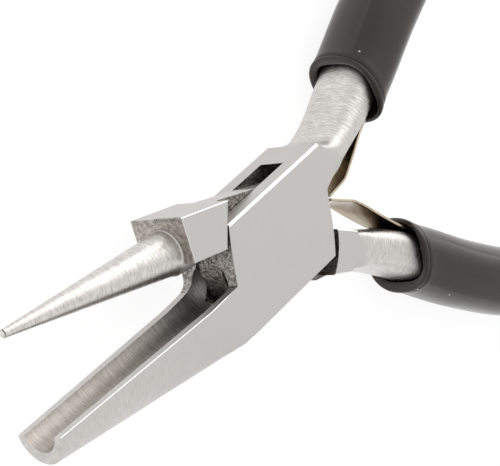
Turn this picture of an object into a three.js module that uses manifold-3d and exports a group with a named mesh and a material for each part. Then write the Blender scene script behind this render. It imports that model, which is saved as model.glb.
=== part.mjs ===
// Round and concave wire looping pliers, with a lay-through box joint.
//
// Millimetres. The origin is on the pivot axis, in the plane of the box joint's front face.
// +X points to the jaw tips, +Y to the concave jaw's side and +Z out of the front face, so the
// tool's mid plane lies half a thickness below the origin. The pliers stand fully open.
//
// Solids are drawn around the mid plane (z = 0 there) and the whole group is lowered at the end.

import * as THREE from "three";
import { mergeVertices } from "three/addons/utils/BufferGeometryUtils.js";
import Module from "manifold-3d";

const wasm = await Module();
wasm.setup();

// ---------------------------------------------------------------- driving dimensions

const THICKNESS = 9; // both halves, across the flats of the box joint
const HALF = THICKNESS / 2;
const REACH = 41; // pivot axis to the jaw tips
const EDGE_CHAMFER = 0.35; // ground edge of the cheeks

const SLOT_HALF = 1.95; // half the width of the slot through the box
const TONGUE_HALF = 1.82; // half the thickness of the tongue in it
const SLOT_RADIUS = 10.4; // ends of the slot, about the pivot axis
const TONGUE_RADIUS = 9.15; // round flanks of the tongue
const SHOULDER_RADIUS = 9.85; // shoulder that the handle side carries behind the cheeks

const PIN_RADIUS = 2.6;
const PIN_CLEARANCE = 0.05;

const GROOVE_ROOT_RADIUS = 3.46;
const GROOVE_TIP_RADIUS = 2.69;
const GROOVE_ROOT_X = 11.6;

const CONE_BASE_RADIUS = 2.8;
const CONE_FLANGE_RADIUS = 3.0; // where the fillet runs out on the block's end
const CONE_TIP_RADIUS = 0.55;

const LEAF_HALF_THICKNESS = 0.2;
const LEAF_TIP_GAP = 0.12; // between the two springs where they meet
const RIVET_RADIUS = 0.9;
const RIVET_HEAD_RADIUS = 1.6;
const RIVET_HEAD_HEIGHT = 0.45;

const GRIP_START = 15.7; // distance along the handle where the sleeve's mouth is
const GRIP_GAP = 0.3; // sleeve bore to the steel
const GRIP_SLANT = 1.8; // the mouth is nearer the joint on the inner side, by this either way
const GRIP_TILT = 0.5; // and on the front side, by this either way

const RINGS = 32; // points round a lofted section

// ---------------------------------------------------------------- materials

function finish(name, colour, roughness, metalness) {
  const material = new THREE.MeshStandardMaterial({ color: colour, roughness, metalness });
  material.name = name;
  return material;
}

const satinSteel = () => finish("satin_steel", 0xc8c5c1, 0.38, 1.0);
const pinSteel = () => finish("pin_steel", 0xbdbab6, 0.35, 1.0);
const springSteel = () => finish("spring_steel", 0xc2ad86, 0.3, 1.0);
const darkVinyl = () => finish("dark_vinyl", 0x2c2b2c, 0.35, 0.0);

// ---------------------------------------------------------------- solids

const V2 = (x, y) => new THREE.Vector2(x, y);
const V3 = (x, y, z = 0) => new THREE.Vector3(x, y, z);

// A closed three.js geometry as a solid.
function solid(geometry) {
  const plain = geometry.index ? geometry.toNonIndexed() : geometry.clone();
  for (const name of Object.keys(plain.attributes)) {
    if (name !== "position") {
      plain.deleteAttribute(name);
    }
  }
  const merged = mergeVertices(plain, 1e-4);
  const mesh = new wasm.Mesh({
    numProp: 3,
    vertProperties: new Float32Array(merged.attributes.position.array),
    triVerts: new Uint32Array(merged.index.array),
  });
  return new wasm.Manifold(mesh);
}

// A solid as a three.js geometry.
function geometryOf(manifold) {
  const mesh = manifold.getMesh();
  const geometry = new THREE.BufferGeometry();
  const positions = new Float32Array((mesh.vertProperties.length / mesh.numProp) * 3);
  for (let i = 0; i < positions.length / 3; i += 1) {
    for (let k = 0; k < 3; k += 1) {
      positions[i * 3 + k] = mesh.vertProperties[i * mesh.numProp + k];
    }
  }
  geometry.setAttribute("position", new THREE.BufferAttribute(positions, 3));
  geometry.setIndex(new THREE.BufferAttribute(new Uint32Array(mesh.triVerts), 1));
  geometry.computeVertexNormals();
  return geometry;
}

// Joins rings of points (all of one length) into a closed skin, with a flat fan at each end.
function loft(rings) {
  const count = rings[0].length;
  const points = rings.flat();
  const last = rings.length - 1;
  points.push(centreOf(rings[0]), centreOf(rings[last]));
  const startCentre = points.length - 2;
  const endCentre = points.length - 1;
  const index = [];
  for (let i = 0; i < count; i += 1) {
    const j = (i + 1) % count;
    index.push(startCentre, j, i);
    index.push(endCentre, last * count + i, last * count + j);
    for (let r = 0; r < last; r += 1) {
      const a = r * count + i;
      const b = r * count + j;
      index.push(a, b, b + count, a, b + count, a + count);
    }
  }
  const geometry = new THREE.BufferGeometry();
  const numbers = points.flatMap((point) => point.toArray());
  geometry.setAttribute("position", new THREE.Float32BufferAttribute(numbers, 3));
  geometry.setIndex(index);
  return geometry;
}

function centreOf(ring) {
  return ring.reduce((sum, p) => sum.add(p), V3(0, 0, 0)).divideScalar(ring.length);
}

// A plate of the given outline, centred on the mid plane, with chamfered edges.
function plate(outline, half, chamfer = 0) {
  const shape = new THREE.Shape(outline.getPoints ? outline.getPoints(8) : outline);
  const geometry = new THREE.ExtrudeGeometry(shape, {
    depth: 2 * (half - chamfer),
    bevelEnabled: chamfer > 0,
    bevelThickness: chamfer,
    bevelSize: chamfer,
    bevelOffset: -chamfer,
    bevelSegments: 1,
    curveSegments: 10,
  });
  geometry.translate(0, 0, -(half - chamfer));
  return solid(geometry);
}

// Points of an arc about the pivot axis, from one angle to another in degrees.
function arc(radius, from, to, steps = 10) {
  const points = [];
  for (let i = 0; i <= steps; i += 1) {
    const angle = THREE.MathUtils.degToRad(from + ((to - from) * i) / steps);
    points.push(V2(radius * Math.cos(angle), radius * Math.sin(angle)));
  }
  return points;
}

// A value that runs smoothly, with no overshoot, through the stations of a table of [where, value].
function along(table, where) {
  const last = table.length - 1;
  const place = THREE.MathUtils.clamp(where, table[0][0], table[last][0]);
  const next = Math.max(1, table.findIndex(([station]) => place <= station));
  const [x0, y0] = table[next - 1];
  const [x1, y1] = table[next];
  const run = x1 - x0;
  const t = (place - x0) / run;
  const s = 1 - t;
  const straight = y0 * s * s * (1 + 2 * t) + y1 * t * t * (1 + 2 * s);
  return straight + run * s * t * (s * slopeAt(table, next - 1) - t * slopeAt(table, next));
}

// Slope of a table at one of its stations: the harmonic mean of the slopes on its two sides.
function slopeAt(table, station) {
  const secant = (i) => (table[i + 1][1] - table[i][1]) / (table[i + 1][0] - table[i][0]);
  const before = secant(Math.max(0, station - 1));
  const after = secant(Math.min(table.length - 2, station));
  return before * after > 0 ? (2 * before * after) / (before + after) : 0;
}

// One superellipse point: power 2 is an ellipse, a higher power is squarer.
function superPoint(angle, halfU, halfV, power) {
  const c = Math.cos(angle);
  const s = Math.sin(angle);
  const u = Math.sign(c) * Math.abs(c) ** (2 / power) * halfU;
  const v = Math.sign(s) * Math.abs(s) ** (2 / power) * halfV;
  return [u, v];
}

// ---------------------------------------------------------------- handle line
//
// Both handles follow one bowed line, mirrored. side is -1 for the box half and +1 for the
// tongue half.

const HANDLE_POINTS = [
  [-9.0, 5.5],
  [-14.8, 7.4],
  [-20.9, 10.3],
  [-26.4, 13.9],
  [-34, 19.2],
  [-45, 25.6],
  [-60, 31.4],
  [-75, 35.2],
  [-89, 37.3],
];

function handleCurve(side) {
  const points = HANDLE_POINTS.map(([x, y]) => V3(x, side * y));
  return new THREE.CatmullRomCurve3(points, false, "centripetal");
}

// Place and directions at a distance along the handle: out points away from the tool's middle.
function handleFrame(curve, side, distance) {
  const share = Math.min(1, distance / curve.getLength());
  const point = curve.getPointAt(share);
  const ahead = curve.getTangentAt(share);
  const out = V3(-ahead.y, ahead.x).multiplyScalar(-side);
  return { point, ahead, out };
}

// A ring of points round the handle line. The sense of turning follows the side, so that every
// loft's faces point outward. slant and tilt tip the ring, so that its inner side and its front
// side are nearer the joint.
function handleRing(curve, side, distance, section, slant = 0, tilt = 0) {
  const { point, ahead, out } = handleFrame(curve, side, distance);
  const ring = [];
  for (let i = 0; i < RINGS; i += 1) {
    const angle = (side * -2 * Math.PI * i) / RINGS;
    const [u, v] = superPoint(angle, section.halfIn, section.halfZ, section.power);
    const place = point.clone().addScaledVector(out, u + section.shift).add(V3(0, 0, v));
    const lean = (slant * u) / section.halfIn - (tilt * v) / section.halfZ;
    ring.push(place.addScaledVector(ahead, lean));
  }
  return ring;
}

// Tables run along the handle: [distance from its start, value].
const SHANK_REST = [[15, 3.0], [20, 2.8], [40, 2.75], [97, 2.3]];
const SHANK_HALF_WIDTH = {
  box: [[0, 2.7], [2.8, 2.6], [4.4, 2.2], [6, 2.1], [9, 2.35], ...SHANK_REST],
  tongue: [[0, 2.3], [5, 2.42], [9, 2.75], ...SHANK_REST],
};
const SHANK_SHIFT = {
  box: [[0, 0.2], [2.8, 0.03], [4.4, -0.42], [6, -0.57], [10, -0.42], [15, -0.05], [20, 0.25]],
  tongue: [[0, -0.2], [5, -0.22], [9, -0.1], [15, 0], [20, 0.25]],
};
const SHANK_DEPTH = [[0, 4.5], [20, 4.5], [45, 4.1], [97, 3.1]];
const SHANK_POWER = {
  box: [[0, 12], [3, 8], [5.5, 3.2], [9, 2.5], [16, 2.3]],
  tongue: [[0, 12], [3.5, 9], [7, 4.2], [16, 3]],
};
const SHANK_STATIONS = [0, 2.8, 4.4, 6, 9, 12, 16, 21, 27, 34, 42, 51, 60, 69, 78, 86];

function shankSection(side, distance) {
  const half = side < 0 ? "box" : "tongue";
  return {
    halfIn: along(SHANK_HALF_WIDTH[half], distance),
    halfZ: along(SHANK_DEPTH, distance),
    power: along(SHANK_POWER[half], distance),
    shift: along(SHANK_SHIFT[half], distance),
  };
}

function shank(side) {
  const curve = handleCurve(side);
  return solid(loft(SHANK_STATIONS.map((d) => handleRing(curve, side, d, shankSection(side, d)))));
}

// ---------------------------------------------------------------- box half

// Outline of the cheeks. The front cheek has a sharp corner where the jaw's rim meets it and the
// back cheek a rounded one.
const CHEEK_TOP = [V2(8.1, -5.8), V2(-10.8, -8.95)]; // long edge on the round jaw's side

function cheekOutline(cornerRadius) {
  const corner = V2(9.85, 1.45);
  const path = new THREE.Path();
  path.moveTo(8.1, -5.8);
  path.quadraticCurveTo(9.25, -2.2, corner.x - 0.1, corner.y - cornerRadius);
  path.quadraticCurveTo(corner.x, corner.y, corner.x + cornerRadius, corner.y + 0.17 * cornerRadius);
  path.lineTo(12, 1.88);
  path.lineTo(10.6, 7.3);
  path.lineTo(9.85, 7.98);
  path.lineTo(-7.7, 5.15);
  path.quadraticCurveTo(-8.9, 2.4, -9.45, -1.0);
  path.lineTo(-9.95, -3.1);
  path.lineTo(-12.0, -4.35);
  path.lineTo(-12.9, -5.8);
  path.lineTo(-12.3, -7.4);
  path.lineTo(-10.8, -8.95);
  path.closePath();
  return path;
}

// The hollow jaw without its groove: a flat rim on top of a half-round back, which is square in
// section where it leaves the box.
const JAW_TIP_HALF_WIDTH = 3.75;
const JAW_TAPER_START = 15; // the jaw is as thick as the box up to here
const JAW_DEPTH = [[7, 6.45], [10.5, 6.56], [16, 6.45], [25, 5.7], [33, 4.65], [REACH, 3.5]];
const JAW_POWER = [[7, 26], [10.5, 22], [12.5, 9], [15, 4.6], [20, 2.9], [27, 2.15], [REACH, 2]];
const JAW_STATIONS = [7, 9, 11, 13, 15, 18, 21, 25, 29, 33, 37, REACH];

const rimHeight = (x) => (x < 15 ? 1.45 + (x - 9.8) * 0.18 : 2.386 + (x - 15) * 0.1155);

function jawRing(x) {
  const taper = THREE.MathUtils.mapLinear(x, JAW_TAPER_START, REACH, HALF, JAW_TIP_HALF_WIDTH);
  const halfWidth = Math.min(HALF, taper);
  const depth = along(JAW_DEPTH, x);
  const power = along(JAW_POWER, x);
  const ring = [];
  for (let i = 0; i <= RINGS; i += 1) {
    const [z, down] = superPoint((Math.PI * i) / RINGS, -halfWidth, depth, power);
    ring.push(V3(x, rimHeight(x) + Math.max(0, down), z));
  }
  return ring;
}

function jawBack() {
  return solid(loft(JAW_STATIONS.map(jawRing)));
}

// The groove's cutter: a long taper with a round end at the root, as a form cutter leaves it.
function grooveCutter() {
  const rootY = rimHeight(GROOVE_ROOT_X) - 0.86;
  const endX = REACH + 2;
  const tipY = rimHeight(endX) - 0.69;
  const root = V3(GROOVE_ROOT_X, rootY);
  const tip = V3(endX, tipY);
  const axis = tip.clone().sub(root);
  const taper = new THREE.CylinderGeometry(GROOVE_TIP_RADIUS, GROOVE_ROOT_RADIUS, axis.length(), 48, 1);
  const turn = new THREE.Quaternion().setFromUnitVectors(V3(0, 1), axis.clone().normalize());
  taper.applyQuaternion(turn);
  taper.translate((root.x + tip.x) / 2, (root.y + tip.y) / 2, 0);
  const end = new THREE.SphereGeometry(GROOVE_ROOT_RADIUS, 32, 20);
  end.translate(root.x, root.y, 0);
  return solid(taper).add(solid(end));
}

// The slot that the tongue turns in. It is open at the throat, at the back edge and at both long
// edges, and closed by round walls where the jaw and the handle leave the box.
function slotCutter() {
  const outline = [
    V2(6.35, -8.6),
    V2(6.35, -14),
    V2(-6.4, -14),
    ...arc(SLOT_RADIUS, 232, 200, 6),
    V2(-16, -1.6),
    V2(-16, 12),
    V2(6.6, 12),
    ...arc(SLOT_RADIUS, 49, 6, 8),
    V2(12.6, 0.6),
    V2(12.6, -8.6),
  ];
  return plate(outline, SLOT_HALF);
}

function pinHole(radius) {
  const hole = new THREE.CylinderGeometry(radius, radius, THICKNESS + 2, 48);
  hole.rotateX(Math.PI / 2);
  return solid(hole);
}

// Material on the front (+1) or back (-1) side of the mid plane.
function sideOfMiddle(side) {
  const space = new THREE.BoxGeometry(80, 80, THICKNESS);
  space.translate(0, 0, side * (HALF - 0.01));
  return solid(space);
}

// Bevels the edge between a flat side face and the long edge that runs from one point to another.
function edgeBevel(from, to, size, side) {
  const length = from.distanceTo(to);
  const cutter = new THREE.BoxGeometry(length, size * Math.SQRT2, size * Math.SQRT2);
  cutter.rotateX(Math.PI / 4);
  cutter.rotateZ(Math.atan2(to.y - from.y, to.x - from.x));
  cutter.translate((from.x + to.x) / 2, (from.y + to.y) / 2, side * HALF);
  return solid(cutter);
}

function boxHalf() {
  const front = plate(cheekOutline(0.25), HALF).intersect(sideOfMiddle(1));
  const back = plate(cheekOutline(1.7), HALF).intersect(sideOfMiddle(-1));
  let body = front.add(back).add(jawBack()).add(shank(-1));
  body = body.subtract(grooveCutter()).subtract(slotCutter());
  for (const side of [-1, 1]) {
    body = body.subtract(edgeBevel(CHEEK_TOP[0], CHEEK_TOP[1], EDGE_CHAMFER, side));
  }
  body = body.subtract(pinHole(PIN_RADIUS + PIN_CLEARANCE)).subtract(rivetHole(-1));
  return body;
}

// ---------------------------------------------------------------- tongue half

function blockOutline() {
  return [V2(6.95, -8.5), V2(14.85, -9.55), V2(15.0, -3.85), V2(9.5, -3.2)];
}

function tongueOutline() {
  return [
    V2(12, -9.1),
    V2(12, -3.6),
    ...arc(TONGUE_RADIUS, -20, 33, 8),
    V2(3.0, 5.5),
    V2(-2.3, 6.1),
    V2(-5.75, 7.6),
    V2(-9.5, 8.0),
    V2(-11, 3.2),
    ...arc(TONGUE_RADIUS, 166, 221, 8),
    V2(-0.45, -7.15),
    V2(5.45, -8.2),
  ].reverse();
}

// Full-thickness root of the handle behind the shoulder.
function rootOutline() {
  return [
    ...arc(SHOULDER_RADIUS, 167.5, 128, 10),
    V2(-10.0, 8.4),
    V2(-13.3, 5.2),
    V2(-13.1, 3.95),
  ].reverse();
}

// The round jaw, turned about its own axis: root, fillet ring, taper and rounded tip.
function roundJaw() {
  const axisStart = V3(13.2, -5.15);
  const axisEnd = V3(REACH - 0.15, -7.0);
  const length = axisEnd.distanceTo(axisStart);
  const fillet = CONE_FLANGE_RADIUS - CONE_BASE_RADIUS;
  const flangeAt = 1.85;
  const profile = [V2(0, -1.2), V2(2.3, -1.2), V2(2.9, -0.6), V2(CONE_FLANGE_RADIUS, flangeAt - fillet)];
  for (let i = 0; i <= 4; i += 1) {
    const turn = (Math.PI / 2) * (i / 4);
    const radius = CONE_FLANGE_RADIUS - fillet * Math.sin(turn);
    profile.push(V2(radius, flangeAt + fillet * 2 * (1 - Math.cos(turn))));
  }
  const taperStart = flangeAt + fillet * 2;
  for (let i = 1; i <= 6; i += 1) {
    const radius = THREE.MathUtils.lerp(CONE_BASE_RADIUS, CONE_TIP_RADIUS, i / 6);
    profile.push(V2(radius, THREE.MathUtils.lerp(taperStart, length - 0.35, i / 6)));
  }
  profile.push(V2(CONE_TIP_RADIUS * 0.75, length - 0.1));
  profile.push(V2(0, length));
  const cone = new THREE.LatheGeometry(profile, RINGS);
  const direction = axisEnd.clone().sub(axisStart).normalize();
  cone.applyQuaternion(new THREE.Quaternion().setFromUnitVectors(V3(0, 1), direction));
  cone.translate(axisStart.x, axisStart.y, 0);
  return solid(cone);
}

function tongueHalf() {
  let body = plate(blockOutline(), HALF, 0.2);
  body = body.add(plate(tongueOutline(), TONGUE_HALF)).add(roundJaw());
  body = body.add(rootPiece());
  body = body.subtract(pinHole(PIN_RADIUS + PIN_CLEARANCE)).subtract(rivetHole(1));
  return body;
}

// The handle's root and shank, cleared by the shoulder's round face outside the tongue.
function rootPiece() {
  const clear = new THREE.CylinderGeometry(SHOULDER_RADIUS, SHOULDER_RADIUS, THICKNESS + 2, 96);
  clear.rotateX(Math.PI / 2);
  const handle = plate(rootOutline(), HALF, 0.15).add(shank(1));
  return handle.subtract(solid(clear));
}

// ---------------------------------------------------------------- pivot pin

function pivotPin() {
  const pin = new THREE.CylinderGeometry(PIN_RADIUS, PIN_RADIUS, THICKNESS, 48);
  pin.rotateX(Math.PI / 2);
  return solid(pin);
}

// ---------------------------------------------------------------- leaf springs and rivets

const RIVET_AT = 26; // distance along the handle
const LEAF_END = 31; // distance along the handle where the leaf ends, under the sleeve
const LEAF_LEAVES_SHANK = 14.2; // distance along the handle where the free part starts
const LEAF_SEAT_STATIONS = [16, 18, 20.5, 23, RIVET_AT, 28.5, LEAF_END];
const LEAF_SEAT_GAP = 0.15;

// Distance from the handle line to the middle of a leaf that lies on the shank.
function leafLift(side, distance) {
  const steel = shankSection(side, distance);
  return steel.halfIn - steel.shift + LEAF_SEAT_GAP + LEAF_HALF_THICKNESS;
}

// Free part of each leaf: the tips meet on a line a little to the box half's side of the middle.
const LEAF_MEETING = V3(-13.2, -0.7);
const LEAF_TIP_OFFSET = LEAF_TIP_GAP / 2 + LEAF_HALF_THICKNESS;
const LEAF_BEND = { box: V3(-14.9, -1.95), tongue: V3(-16.2, 1.05) };
const LEAF_SAG = { box: 0.5, tongue: 0.15 }; // how far the free part bows towards its own shank

function leafCurve(side) {
  const curve = handleCurve(side);
  const onShank = (distance) => {
    const { point, out } = handleFrame(curve, side, distance);
    return point.clone().addScaledVector(out, -leafLift(side, distance));
  };
  const bend = side < 0 ? LEAF_BEND.box : LEAF_BEND.tongue;
  const sag = side < 0 ? LEAF_SAG.box : LEAF_SAG.tongue;
  const tip = LEAF_MEETING.clone().add(V3(0, side * LEAF_TIP_OFFSET));
  const seat = onShank(LEAF_LEAVES_SHANK);
  return new THREE.CatmullRomCurve3(
    [
      tip,
      tip.clone().lerp(bend, 0.45),
      tip.clone().lerp(bend, 0.88),
      bend.clone().lerp(seat, 0.08),
      bend.clone().lerp(seat, 0.5).add(V3(0, side * sag)),
      seat,
      ...LEAF_SEAT_STATIONS.map(onShank),
    ],
    false,
    "centripetal",
  );
}

const LEAF_HALF_WIDTH = {
  box: [[0, 1.5], [0.05, 2.2], [0.1, 2.8], [0.22, 2.9], [0.4, 2.2], [1, 2.1]],
  tongue: [[0, 1.5], [0.05, 2.2], [0.1, 2.8], [0.2, 3.0], [1, 2.9]],
};

function leafSpring(side) {
  const curve = leafCurve(side);
  const steps = 34;
  const rings = [];
  for (let i = 0; i <= steps; i += 1) {
    const point = curve.getPointAt(i / steps);
    const ahead = curve.getTangentAt(i / steps);
    const up = V3(-ahead.y, ahead.x);
    const half = along(LEAF_HALF_WIDTH[side < 0 ? "box" : "tongue"], i / steps);
    const corners = [
      [half, LEAF_HALF_THICKNESS],
      [half, -LEAF_HALF_THICKNESS],
      [-half, -LEAF_HALF_THICKNESS],
      [-half, LEAF_HALF_THICKNESS],
    ];
    rings.push(corners.map(([z, u]) => point.clone().addScaledVector(up, u).add(V3(0, 0, z))));
  }
  return solid(loft(rings)).subtract(rivetHole(side));
}

function rivetFrame(side) {
  return handleFrame(handleCurve(side), side, RIVET_AT);
}

// Turned about the axis that runs square through the leaf into the shank.
function rivetSolid(side, profile) {
  const { point, out } = rivetFrame(side);
  const lathe = new THREE.LatheGeometry(profile, 24);
  lathe.applyQuaternion(new THREE.Quaternion().setFromUnitVectors(V3(0, 1), out));
  lathe.translate(point.x, point.y, 0);
  return solid(lathe);
}

function rivetHole(side) {
  const radius = RIVET_RADIUS + 0.04;
  const outer = -leafLift(side, RIVET_AT) - 3;
  return rivetSolid(side, [V2(0, outer), V2(radius, outer), V2(radius, 0.6), V2(0, 0.6)]);
}

function leafRivet(side) {
  const seat = -leafLift(side, RIVET_AT) - LEAF_HALF_THICKNESS - 0.03;
  return rivetSolid(side, [
    V2(0, seat - RIVET_HEAD_HEIGHT),
    V2(RIVET_HEAD_RADIUS * 0.6, seat - RIVET_HEAD_HEIGHT * 0.85),
    V2(RIVET_HEAD_RADIUS, seat),
    V2(RIVET_RADIUS, seat),
    V2(RIVET_RADIUS, 0.45),
    V2(0, 0.45),
  ]);
}

// ---------------------------------------------------------------- grips

const GRIP_END = 92.5; // distance along the handle of the sleeve's closed end
const GRIP_ROUND = 5.5; // length of that rounded end
const GRIP_HALF_WIDTH = [[15, 4.7], [30, 4.85], [60, 5.1], [92, 4.4]];
const GRIP_HALF_DEPTH = [[15, 5.7], [60, 5.8], [92, 4.9]];
const GRIP_SHIFT = -0.1;
const GRIP_POWER = 2.3;
const LIP_STANDS_OUT = 0.16;
const GRIP_LEAN_FADES = 12; // length over which the mouth's slant dies out

// The bore clears the steel, and on the inner side the leaf spring and its rivet's head.
const LEAF_ROOM = [[0, 0.85], [17, 0.9], [21, 1.3], [31, 1.3], [36, 0.0]];
const BORE_POWER = 3;
const BORE_END = 88;
const BORE_STATIONS = [BORE_END, 82, 74, 65, 56, 47, 40, 36, 32, 27, 23, 19];
const OUTSIDE_STATIONS = [21, 25, 30, 36, 43, 51, 60, 69, 78, GRIP_END - GRIP_ROUND];

function boreSection(side, distance) {
  const steel = shankSection(side, distance);
  const room = along(LEAF_ROOM, distance);
  return {
    halfIn: steel.halfIn + GRIP_GAP + room / 2,
    halfZ: steel.halfZ + GRIP_GAP,
    power: BORE_POWER,
    shift: steel.shift - room / 2,
  };
}

function outsideSection(distance, proud = 0) {
  return {
    halfIn: along(GRIP_HALF_WIDTH, distance) + proud,
    halfZ: along(GRIP_HALF_DEPTH, distance) + proud,
    power: GRIP_POWER,
    shift: GRIP_SHIFT,
  };
}

// Part of the way from one section to another.
function between(a, b, share) {
  const section = {};
  for (const key of Object.keys(a)) {
    section[key] = THREE.MathUtils.lerp(a[key], b[key], share);
  }
  return section;
}

// The sleeve as one skin: out along the bore, round the rolled mouth, back along the outside and
// over the closed end.
function grip(side) {
  const curve = extendedHandle(side);
  const ring = (distance, section) => {
    const lean = Math.max(0, 1 - (distance - GRIP_START) / GRIP_LEAN_FADES);
    return handleRing(curve, side, distance, section, lean * GRIP_SLANT, lean * GRIP_TILT);
  };
  const rings = BORE_STATIONS.map((distance) => ring(distance, boreSection(side, distance)));

  const mouth = boreSection(side, GRIP_START);
  const lip = outsideSection(GRIP_START, LIP_STANDS_OUT);
  const body = outsideSection(GRIP_START);
  rings.push(ring(GRIP_START + 0.6, boreSection(side, GRIP_START + 0.6)));
  rings.push(ring(GRIP_START + 0.12, between(mouth, lip, 0.15)));
  rings.push(ring(GRIP_START, between(mouth, lip, 0.5)));
  rings.push(ring(GRIP_START + 0.12, between(mouth, lip, 0.85)));
  rings.push(ring(GRIP_START + 0.5, lip));
  rings.push(ring(GRIP_START + 1.0, between(body, lip, 0.6)));
  rings.push(ring(GRIP_START + 1.25, between(body, lip, -0.4)));
  rings.push(ring(GRIP_START + 1.6, between(body, lip, 0.3)));
  rings.push(ring(GRIP_START + 2.4, body));
  for (const distance of OUTSIDE_STATIONS) {
    rings.push(ring(distance, outsideSection(distance)));
  }
  for (const turn of [25, 48, 67, 82]) {
    const angle = THREE.MathUtils.degToRad(turn);
    const start = GRIP_END - GRIP_ROUND;
    const section = outsideSection(start);
    section.halfIn *= Math.cos(angle);
    section.halfZ *= Math.cos(angle);
    rings.push(ring(start + GRIP_ROUND * Math.sin(angle), section));
  }
  return solid(loft(rings));
}

// The handle line, carried straight on past its end for the sleeve's round end.
function extendedHandle(side) {
  const points = HANDLE_POINTS.map(([x, y]) => V3(x, side * y));
  return new THREE.CatmullRomCurve3([...points, V3(-98, side * 38.3)], false, "centripetal");
}

// ---------------------------------------------------------------- assembly

const pliers = new THREE.Group();
pliers.name = "pliers";
pliers.position.z = -HALF;

function addPiece(name, body, material) {
  const mesh = new THREE.Mesh(geometryOf(body), material);
  mesh.name = name;
  pliers.add(mesh);
}

addPiece("box_half", boxHalf(), satinSteel());
addPiece("tongue_half", tongueHalf(), satinSteel());
addPiece("pivot_pin", pivotPin(), pinSteel());
addPiece("box_leaf_spring", leafSpring(-1), springSteel());
addPiece("tongue_leaf_spring", leafSpring(1), springSteel());
addPiece("box_leaf_rivet", leafRivet(-1), pinSteel());
addPiece("tongue_leaf_rivet", leafRivet(1), pinSteel());
addPiece("box_grip", grip(-1), darkVinyl());
addPiece("tongue_grip", grip(1), darkVinyl());

export default pliers;
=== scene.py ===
"""Looks for the round and hollow nose pliers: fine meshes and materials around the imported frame.

All shapes are worked out in millimetres around the tool's mid plane, in the frame's axes (+X to
the jaw tips, +Y to the hollow jaw's side, +Z out of the front face), and become metres when a
mesh is made.
"""

import math

import bmesh
import bpy
import numpy as np
from mathutils import Matrix, Vector

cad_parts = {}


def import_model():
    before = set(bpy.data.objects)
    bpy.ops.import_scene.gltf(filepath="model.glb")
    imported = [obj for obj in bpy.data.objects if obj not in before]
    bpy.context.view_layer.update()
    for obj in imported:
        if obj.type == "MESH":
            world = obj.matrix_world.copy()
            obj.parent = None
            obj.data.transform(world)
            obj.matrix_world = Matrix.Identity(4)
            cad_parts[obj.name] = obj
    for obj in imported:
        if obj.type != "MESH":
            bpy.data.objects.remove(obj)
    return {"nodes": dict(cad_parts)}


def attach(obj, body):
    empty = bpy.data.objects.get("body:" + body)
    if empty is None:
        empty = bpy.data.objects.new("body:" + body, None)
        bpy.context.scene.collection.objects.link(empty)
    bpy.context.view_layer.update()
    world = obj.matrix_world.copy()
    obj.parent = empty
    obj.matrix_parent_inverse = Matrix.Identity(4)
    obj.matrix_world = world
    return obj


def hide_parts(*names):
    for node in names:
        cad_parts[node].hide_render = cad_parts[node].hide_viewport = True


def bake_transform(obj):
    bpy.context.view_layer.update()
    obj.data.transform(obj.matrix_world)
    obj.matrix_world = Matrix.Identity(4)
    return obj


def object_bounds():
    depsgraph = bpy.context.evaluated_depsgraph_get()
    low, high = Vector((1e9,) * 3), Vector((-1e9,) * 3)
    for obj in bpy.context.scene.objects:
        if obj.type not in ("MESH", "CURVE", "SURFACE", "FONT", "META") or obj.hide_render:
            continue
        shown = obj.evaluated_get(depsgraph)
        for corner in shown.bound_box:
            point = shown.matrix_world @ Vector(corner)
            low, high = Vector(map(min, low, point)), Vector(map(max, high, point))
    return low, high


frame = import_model()
CAD_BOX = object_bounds()

MM = 0.001
HALF = 4.5  # half the box joint's thickness
MID_PLANE = -HALF  # its height, where the frame's origin is on the front face
RING = 96  # points round a lofted section

# ---------------------------------------------------------------- dimensions
#
# These follow the CAD, apart from the fine details that say otherwise beside them.

REACH = 41.0
CHEEK_CHAMFER = 0.27  # 0.35 in the CAD
BLOCK_CHAMFER = 0.08  # 0.2 in the CAD
ROOT_CHAMFER = 0.15
RIM_CHAMFER = 0.06  # the CAD's rims are sharp
SLOT_HALF = 1.95
TONGUE_HALF = 1.82
SLOT_RADIUS = 10.4
TONGUE_RADIUS = 9.15
SHOULDER_RADIUS = 9.85
PIN_RADIUS = 2.6
PIN_HOLE = 2.6005  # 2.65 in the CAD; a pin ground flush shows no gap

GROOVE_ROOT_RADIUS = 3.46
GROOVE_TIP_RADIUS = 2.69
GROOVE_ROOT_X = 11.6
GROOVE_ROOT_DROP = 0.86  # how far outside the rim the groove's axis lies
GROOVE_TIP_DROP = 0.69
CHATTER = 0.014  # the form cutter's marks, which the CAD leaves out
RIM_START = (9.8, 1.45)
RIM_TURN = (15, 2.386)
RIM_SLOPES = (0.18, 0.1155)  # before and after the turn
JAW_TIP_HALF_WIDTH = 3.75
JAW_TAPER_START = 15.0
JAW_DEPTH = [(7, 6.45), (10.5, 6.56), (16, 6.45), (25, 5.7), (33, 4.65), (REACH, 3.5)]
JAW_POWER = [  # squarer than the CAD up to 12.5, so that the corner meets the cheek's
    (7, 60), (10.5, 50), (12.5, 12), (15, 4.6), (20, 2.9), (27, 2.15), (REACH, 2),
]

CONE_ROOT = (13.2, -5.15)
CONE_TIP = (REACH - 0.15, -7.0)
CONE_BASE_RADIUS = 2.8
CONE_FLANGE_RADIUS = 3.0
CONE_TIP_RADIUS = 0.55

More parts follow.
